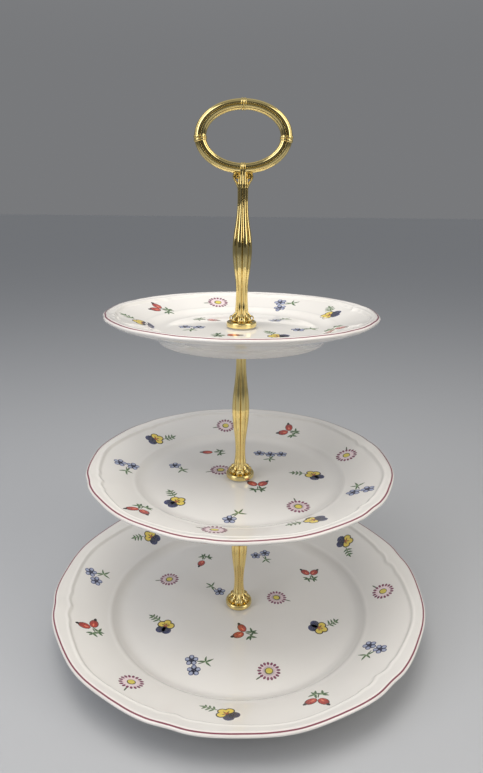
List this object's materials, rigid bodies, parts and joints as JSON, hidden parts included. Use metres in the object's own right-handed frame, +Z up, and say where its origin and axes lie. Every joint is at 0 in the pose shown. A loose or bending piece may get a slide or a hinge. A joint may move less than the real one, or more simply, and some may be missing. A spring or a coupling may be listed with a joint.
{
  "type": "tiered cake stand",
  "caption": "Tiered cake stand: scalloped porcelain plates on a reeded gold-plated stem with an oval carrying ring.",
  "frame": {"origin": "on the stem's axis, in the plane that the bottom plate's foot ring stands on", "axes": "+Z up along the stem; the handle ring lies in the XZ plane, so -Y faces its front"},
  "size_m": [0.2642, 0.2638, 0.3532],
  "materials": {
    "porcelain": "glossy white glaze",
    "gold_plate": "polished gold plating",
    "clear_rubber": "pale soft washer",
    "zinc_steel": "zinc-plated steel"
  },
  "bodies": {
    "base": {"bottom_plate": "porcelain"},
    "lower_stem": {"bottom_foot": "gold_plate", "bottom_upper_washer": "clear_rubber", "lower_column": "gold_plate", "middle_seat": "gold_plate", "middle_lower_washer": "clear_rubber", "middle_stud": "zinc_steel"},
    "base_washers": {"bottom_lower_washer": "clear_rubber", "base_cup_washer": "zinc_steel"},
    "base_screw": {"base_screw": "zinc_steel"},
    "middle_tier": {"middle_plate": "porcelain"},
    "middle_washer": {"middle_upper_washer": "clear_rubber"},
    "middle_stem": {"middle_foot": "gold_plate", "middle_column": "gold_plate", "top_seat": "gold_plate", "top_lower_washer": "clear_rubber", "top_stud": "zinc_steel"},
    "top_tier": {"top_plate": "porcelain"},
    "top_washer": {"top_upper_washer": "clear_rubber"},
    "handle_stem": {"top_foot": "gold_plate", "top_column": "gold_plate", "handle_socket": "gold_plate", "handle_ring": "gold_plate", "ring_binding_right": "gold_plate", "ring_binding_upper": "gold_plate", "ring_binding_left": "gold_plate", "ring_binding_lower": "gold_plate"}
  },
  "joints": [
    {"name": "lower_stem_turn", "type": "hinge", "parent": "base", "child": "lower_stem", "pos_m": [0, 0, 0.0088], "axis": [0, 0, 1], "continuous": true},
    {"name": "base_screw_drop", "type": "slide", "parent": "lower_stem", "child": "base_washers", "axis": [0, 0, -1], "range_m": [0, 0.008]},
    {"name": "base_screw_turn", "type": "hinge", "parent": "base_washers", "child": "base_screw", "pos_m": [0, 0, 0.003], "axis": [0, 0, -1], "range_deg": [0, 3600]},
    {"name": "middle_plate_turn", "type": "hinge", "parent": "lower_stem", "child": "middle_tier", "pos_m": [0, 0, 0.1134], "axis": [0, 0, 1], "continuous": true},
    {"name": "middle_stem_rise", "type": "slide", "parent": "lower_stem", "child": "middle_washer", "axis": [0, 0, 1], "range_m": [0, 0.008]},
    {"name": "middle_stem_unscrew", "type": "hinge", "parent": "middle_washer", "child": "middle_stem", "pos_m": [0, 0, 0.1144], "axis": [0, 0, 1], "range_deg": [0, 3600]},
    {"name": "top_plate_turn", "type": "hinge", "parent": "middle_stem", "child": "top_tier", "pos_m": [0, 0, 0.219], "axis": [0, 0, 1], "continuous": true},
    {"name": "handle_stem_rise", "type": "slide", "parent": "middle_stem", "child": "top_washer", "axis": [0, 0, 1], "range_m": [0, 0.008]},
    {"name": "handle_stem_unscrew", "type": "hinge", "parent": "top_washer", "child": "handle_stem", "pos_m": [0, 0, 0.2201], "axis": [0, 0, 1], "range_deg": [0, 3600]}
  ],
  "couplings": [
    {"joint": "base_screw_turn", "follows": "base_screw_drop", "rad_per_m": 7853.9},
    {"joint": "middle_stem_unscrew", "follows": "middle_stem_rise", "rad_per_m": 7853.9},
    {"joint": "handle_stem_unscrew", "follows": "handle_stem_rise", "rad_per_m": 7853.9}
  ]
}
